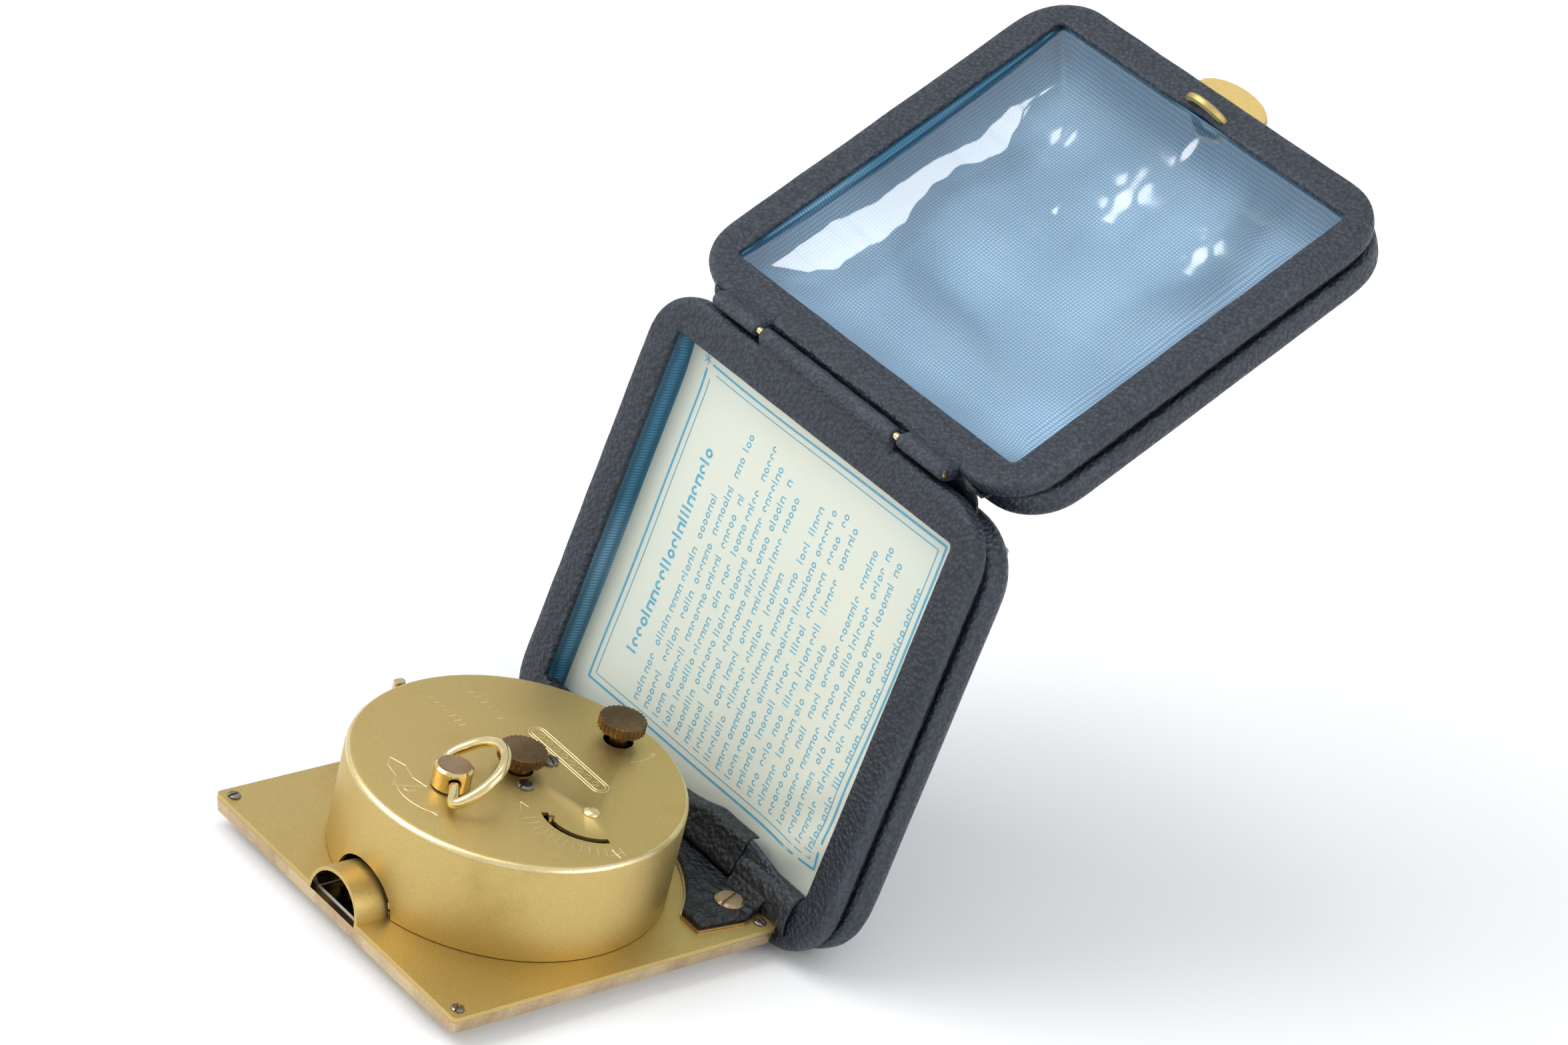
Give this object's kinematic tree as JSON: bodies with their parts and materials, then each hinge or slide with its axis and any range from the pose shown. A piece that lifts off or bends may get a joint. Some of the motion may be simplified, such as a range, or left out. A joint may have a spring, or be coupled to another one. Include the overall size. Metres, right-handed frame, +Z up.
{
  "type": "travel alarm clock",
  "caption": "Folding travel alarm clock: a square brass wind-up clock hinged into a leather case with a satin-lined lid, shown lying face down with the case open.",
  "frame": {"origin": "middle of the crystal's outer face, which lies on the table", "axes": "+X from the clock towards the case hinge and on to the lid's free edge; +Y along the hinge; +Z up, from the dial to the back of the clock"},
  "size_m": [0.1513, 0.078, 0.1217],
  "materials": {
    "gold_lacquer": "matte gold lacquer with fine speckle",
    "brass": "polished and worn",
    "aged_brass": "bronzed, knurled",
    "steel": "darkened steel",
    "leather": "navy grained leather, worn at the folds",
    "satin": "ribbed light-blue satin",
    "card": "printed card",
    "dial_enamel": "matte",
    "clear_plastic": "clear, slightly yellowed"
  },
  "bodies": {
    "clock": {"back_plate": "gold_lacquer", "bezel_frame": "brass", "crystal": "clear_plastic", "dial": "dial_enamel", "movement_cover": "gold_lacquer", "plate_screw_1": "steel", "plate_screw_2": "steel", "plate_screw_3": "steel", "plate_screw_4": "steel", "cover_screw_1": "steel", "cover_screw_2": "steel", "front_movement_plate": "brass", "rear_movement_plate": "brass", "pillar_1": "brass", "pillar_2": "brass", "pillar_3": "brass", "pillar_4": "brass", "pallet_cock": "brass", "hairspring": "steel", "hinge_leaf": "leather", "tab_screw_1": "brass", "tab_screw_2": "brass", "clock_hinge_pin": "brass"},
    "barrel": {"mainspring_barrel": "brass"},
    "winding": {"winding_arbor": "brass", "ratchet_wheel": "steel"},
    "click": {"ratchet_click": "steel"},
    "key": {"key_loop": "brass"},
    "centre": {"centre_wheel": "brass", "hand_set_knob": "aged_brass", "minute_hand": "brass"},
    "minute_work": {"minute_wheel": "brass"},
    "hour": {"hour_wheel": "brass", "hour_hand": "brass"},
    "alarm_indicator": {"alarm_wheel": "brass", "alarm_hand": "steel"},
    "alarm_setter": {"alarm_set_arbor": "brass", "alarm_set_knob": "aged_brass"},
    "third": {"third_wheel": "brass"},
    "fourth": {"fourth_wheel": "brass"},
    "escape": {"escape_wheel": "steel"},
    "pallet": {"pallet_fork": "steel"},
    "balance": {"balance_wheel": "brass"},
    "regulator": {"regulator_lever": "brass"},
    "hammer": {"alarm_hammer": "steel"},
    "stop_lever": {"alarm_stop_lever": "brass"},
    "rear_cover": {"rear_frame": "leather", "rear_shell": "leather", "rear_lining": "satin", "direction_card": "card", "case_hinge_pin": "brass", "leather_spine": "leather"},
    "lid": {"lid_frame": "leather", "lid_shell": "leather", "lid_lining": "satin", "lid_film": "clear_plastic", "clasp_pin": "steel"},
    "clasp": {"clasp": "brass"}
  },
  "joints": [
    {"name": "rear_cover_hinge", "type": "hinge", "parent": "clock", "child": "rear_cover", "pos_m": [0.03165, 0, 0.00735], "axis": [0, -1, 0], "range_deg": [0, 90], "deforming": ["direction_card"]},
    {"name": "lid_hinge", "type": "hinge", "parent": "rear_cover", "child": "lid", "pos_m": [0.04462, 0, 0.08152], "axis": [0, -1, 0], "range_deg": [0, 185]},
    {"name": "clasp_press", "type": "hinge", "parent": "lid", "child": "clasp", "pos_m": [0.11541, 0, 0.11702], "axis": [0, -1, 0], "range_deg": [0, 6], "stiffness_Nm_per_rad": 0.01},
    {"name": "winding_turn", "type": "hinge", "parent": "clock", "child": "winding", "pos_m": [-0.013, 0, 0.02], "axis": [0, 0, 1], "continuous": true},
    {"name": "key_fold", "type": "hinge", "parent": "winding", "child": "key", "pos_m": [-0.013, 0, 0.02415], "axis": [-0.5299, -0.848, 0], "range_deg": [-8, 112]},
    {"name": "centre_turn", "type": "hinge", "parent": "clock", "child": "centre", "pos_m": [0, 0, 0.02], "axis": [0, 0, 1], "continuous": true},
    {"name": "minute_work_turn", "type": "hinge", "parent": "clock", "child": "minute_work", "pos_m": [0, 0.005, 0.0052], "axis": [0, 0, 1], "continuous": true},
    {"name": "hour_turn", "type": "hinge", "parent": "clock", "child": "hour", "pos_m": [0, 0, 0.005], "axis": [0, 0, 1], "continuous": true},
    {"name": "barrel_turn", "type": "hinge", "parent": "clock", "child": "barrel", "pos_m": [-0.013, 0, 0.012], "axis": [0, 0, 1], "continuous": true},
    {"name": "third_turn", "type": "hinge", "parent": "clock", "child": "third", "pos_m": [0.008, 0.009, 0.012], "axis": [0, 0, 1], "continuous": true},
    {"name": "fourth_turn", "type": "hinge", "parent": "clock", "child": "fourth", "pos_m": [0.0116, -0.0022, 0.012], "axis": [0, 0, 1], "continuous": true},
    {"name": "escape_turn", "type": "hinge", "parent": "clock", "child": "escape", "pos_m": [0.0115, -0.01, 0.012], "axis": [0, 0, 1], "continuous": true},
    {"name": "alarm_set_turn", "type": "hinge", "parent": "clock", "child": "alarm_setter", "pos_m": [0.02, 0.0008, 0.02], "axis": [0, 0, 1], "continuous": true},
    {"name": "alarm_indicator_turn", "type": "hinge", "parent": "clock", "child": "alarm_indicator", "pos_m": [0, 0, 0.0044], "axis": [0, 0, 1], "continuous": true},
    {"name": "pallet_swing", "type": "hinge", "parent": "clock", "child": "pallet", "pos_m": [0.00697, -0.0121, 0.012], "axis": [0, 0, 1], "range_deg": [-4, 4]},
    {"name": "balance_swing", "type": "hinge", "parent": "clock", "child": "balance", "pos_m": [0.0034, -0.0138, 0.015], "axis": [0, 0, 1], "range_deg": [-120, 120], "stiffness_Nm_per_rad": 0.000006},
    {"name": "regulator_swing", "type": "hinge", "parent": "clock", "child": "regulator", "pos_m": [0.0034, -0.0138, 0.018], "axis": [0, 0, 1], "range_deg": [-15, 73]},
    {"name": "click_lift", "type": "hinge", "parent": "clock", "child": "click", "pos_m": [-0.0195, 0.0034, 0.018], "axis": [0, 0, 1], "range_deg": [0, 8], "stiffness_Nm_per_rad": 0.0005},
    {"name": "hammer_swing", "type": "hinge", "parent": "clock", "child": "hammer", "pos_m": [-0.007, 0.0175, 0.012], "axis": [0, 0, 1], "range_deg": [-1, 5]},
    {"name": "stop_lever_swing", "type": "hinge", "parent": "clock", "child": "stop_lever", "pos_m": [-0.0022, 0.0186, 0.019], "axis": [0, 0, 1], "range_deg": [-8, 8]}
  ],
  "couplings": [
    {"joint": "minute_work_turn", "follows": "centre_turn", "ratio": -0.33333},
    {"joint": "hour_turn", "follows": "centre_turn", "ratio": 0.083333},
    {"joint": "barrel_turn", "follows": "centre_turn", "ratio": -0.16667},
    {"joint": "third_turn", "follows": "centre_turn", "ratio": -8},
    {"joint": "fourth_turn", "follows": "centre_turn", "ratio": 60},
    {"joint": "escape_turn", "follows": "centre_turn", "ratio": -420},
    {"joint": "alarm_indicator_turn", "follows": "alarm_set_turn", "ratio": -0.66667}
  ]
}
